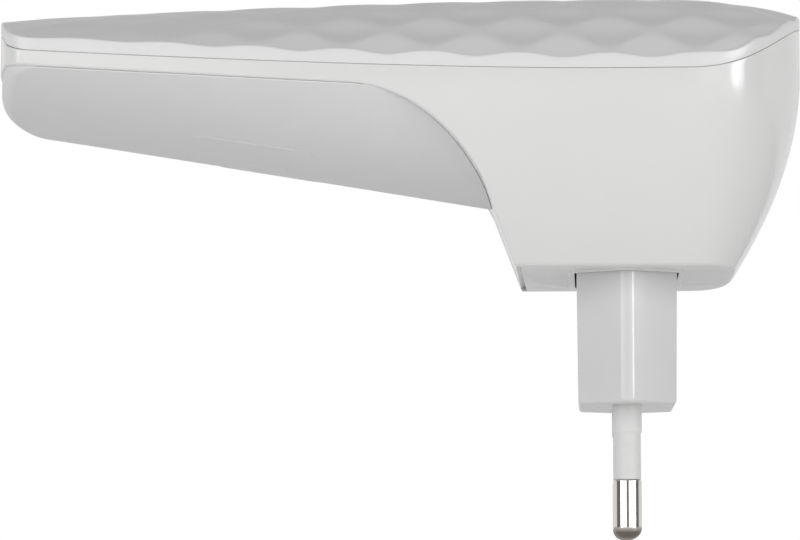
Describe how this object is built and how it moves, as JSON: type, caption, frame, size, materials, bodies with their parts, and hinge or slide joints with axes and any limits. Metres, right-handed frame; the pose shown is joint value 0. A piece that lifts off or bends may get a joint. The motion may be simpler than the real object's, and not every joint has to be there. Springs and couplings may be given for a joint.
{
  "type": "wifi range extender",
  "caption": "Plug-in wireless range extender: long wedge casing with an arched dimpled front cover, gloss housing, matt rear cover and a two-pin plug at its thick end.",
  "frame": {"origin": "middle of the plug block's seating face, half way between the two pins", "axes": "+Z out of the wall through the arched front cover, pins point to -Z, +X towards the thick end over the plug, -X towards the thin end with the network socket, +Y across the casing"},
  "size_m": [0.1151, 0.0658, 0.0777],
  "materials": {
    "gloss_housing": "high-gloss moulded white ABS",
    "front_cover": "satin-gloss moulded white with shallow dimples",
    "matt_shell": "fine matt moulded white",
    "plug_body": "semi-gloss moulded white",
    "pin_sleeve": "satin off-white insulating sleeve",
    "plug_pin": "bright nickel plate on brass",
    "label_film": "blank satin label film",
    "button_plastic": "satin-gloss moulded white",
    "clear_plastic": "clear moulded light guide",
    "lamp_body": "clear-topped lamp package",
    "circuit_board": "green solder mask on glass epoxy",
    "black_component": "black moulded component body",
    "ferrite": "dark grey sintered ferrite",
    "winding_tape": "yellow polyester tape over the winding",
    "capacitor_sleeve": "dark blue heat-shrink sleeve",
    "ceramic": "blue lacquered ceramic",
    "insulation_film": "pale insulation film",
    "tinned_metal": "tinned steel sheet",
    "aluminium": "plain aluminium plate",
    "contact_metal": "spring bronze"
  },
  "bodies": {
    "casing": {"front_cover": "front_cover", "front_housing": "gloss_housing", "rear_cover": "matt_shell", "rating_label": "label_film", "base_plate": "gloss_housing", "plug_block": "plug_body", "line_pin": "plug_pin", "neutral_pin": "plug_pin", "line_pin_sleeve": "pin_sleeve", "neutral_pin_sleeve": "pin_sleeve", "line_contact": "contact_metal", "neutral_contact": "contact_metal", "pairing_switch": "black_component", "reset_switch": "black_component", "light_guide": "clear_plastic", "power_led": "lamp_body", "signal_led": "lamp_body", "wireless_led": "lamp_body", "ethernet_led": "lamp_body", "main_board": "circuit_board", "board_screw_1": "tinned_metal", "board_screw_2": "tinned_metal", "ethernet_jack": "tinned_metal", "jack_contact_comb": "contact_metal", "network_transformer": "black_component", "shield_can_low_band": "tinned_metal", "shield_can_high_band": "tinned_metal", "clock_crystal": "tinned_metal", "processor": "black_component", "memory_chip": "black_component", "flash_chip": "black_component", "heat_spreader": "aluminium", "antenna_near": "contact_metal", "antenna_far": "contact_metal", "antenna_middle": "contact_metal", "power_board": "circuit_board", "bridge_rectifier": "black_component", "power_header": "black_component", "switching_chip": "black_component", "input_capacitor_near": "capacitor_sleeve", "input_capacitor_far": "capacitor_sleeve", "output_capacitor": "capacitor_sleeve", "line_choke": "ferrite", "fuse_resistor": "ceramic", "safety_capacitor": "ceramic", "transformer_core": "ferrite", "transformer_winding": "winding_tape", "insulation_sheet": "insulation_film"},
    "pairing_button": {"pairing_button": "button_plastic", "pairing_switch_plunger": "tinned_metal"},
    "reset_button": {"reset_button": "tinned_metal"}
  },
  "joints": [
    {"name": "pairing_button_press", "type": "slide", "parent": "casing", "child": "pairing_button", "axis": [0, 0, -1], "range_m": [0, 0.0004], "stiffness_N_per_m": 1500},
    {"name": "reset_button_press", "type": "slide", "parent": "casing", "child": "reset_button", "axis": [1, 0, 0], "range_m": [0, 0.00025], "stiffness_N_per_m": 1500}
  ]
}
